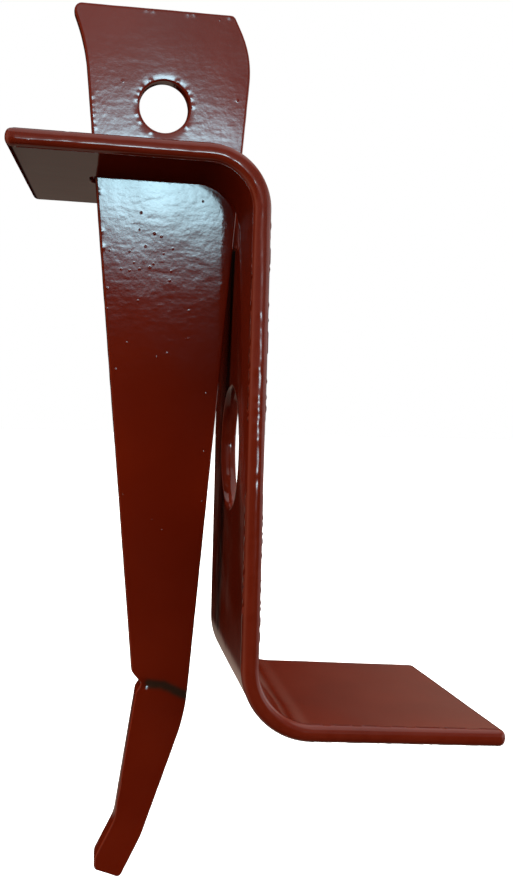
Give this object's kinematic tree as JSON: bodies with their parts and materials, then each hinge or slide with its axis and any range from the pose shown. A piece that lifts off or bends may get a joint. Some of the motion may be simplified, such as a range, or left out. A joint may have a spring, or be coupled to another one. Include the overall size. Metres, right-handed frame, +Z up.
{
  "type": "hoof pick with holder",
  "caption": "Flat steel hoof pick with a curved, notched tip, hanging by its taper in the slot of a Z-shaped steel bracket with a round hole in its web.",
  "frame": {"origin": "on the bracket web's outer face, above the web's hole and halfway across the bar", "axes": "+X out of the web's outer face and along the foot, +Y across the bar's width, +Z up along the web"},
  "size_m": [0.0979, 0.0508, 0.1827],
  "materials": {
    "bracket_enamel": "thick glossy enamel",
    "pick_enamel": "thick glossy enamel"
  },
  "bodies": {
    "bracket": {"holder_bracket": "bracket_enamel"},
    "pick": {"hoof_pick": "pick_enamel"}
  },
  "joints": [
    {"name": "pick_lift", "type": "slide", "parent": "bracket", "child": "pick", "axis": [0, -0.108, 0.9942], "range_m": [0, 0.16]}
  ]
}
